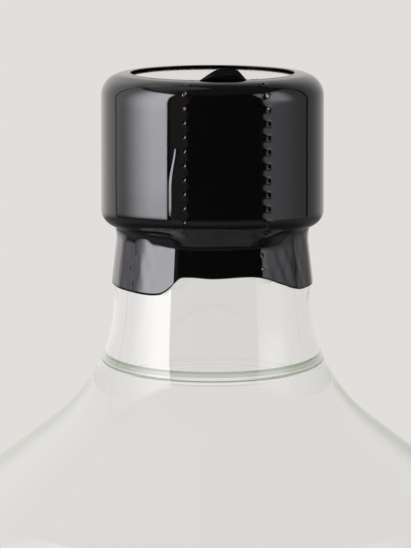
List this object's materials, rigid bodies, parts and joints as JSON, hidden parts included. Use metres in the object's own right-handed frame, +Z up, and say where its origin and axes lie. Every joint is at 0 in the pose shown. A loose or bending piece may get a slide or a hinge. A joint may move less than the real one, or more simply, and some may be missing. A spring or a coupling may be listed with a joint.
{
  "type": "gin bottle",
  "caption": "Round clear glass spirits bottle, filled, with a bar-top stopper sealed under a glossy black shrink capsule that has a tear strip and a pull tab.",
  "frame": {"origin": "middle of the ring that the bottle stands on", "axes": "+Z up along the bottle's axis, -Y towards the tear strip and the pull tab"},
  "size_m": [0.088, 0.088, 0.2113],
  "materials": {
    "clear_glass": "clear, polished, faintly green in its thickness",
    "clear_liquid": "clear, colourless liquid",
    "pale_cork": "matt, fine-grained",
    "silver_head": "bright, finely satined",
    "black_film": "high gloss, slightly wavy from shrinking"
  },
  "bodies": {
    "root": {"bottle_glass": "clear_glass", "gin_fill": "clear_liquid", "stopper_shank": "pale_cork", "stopper_head": "silver_head", "shrink_capsule": "black_film"}
  },
  "joints": []
}
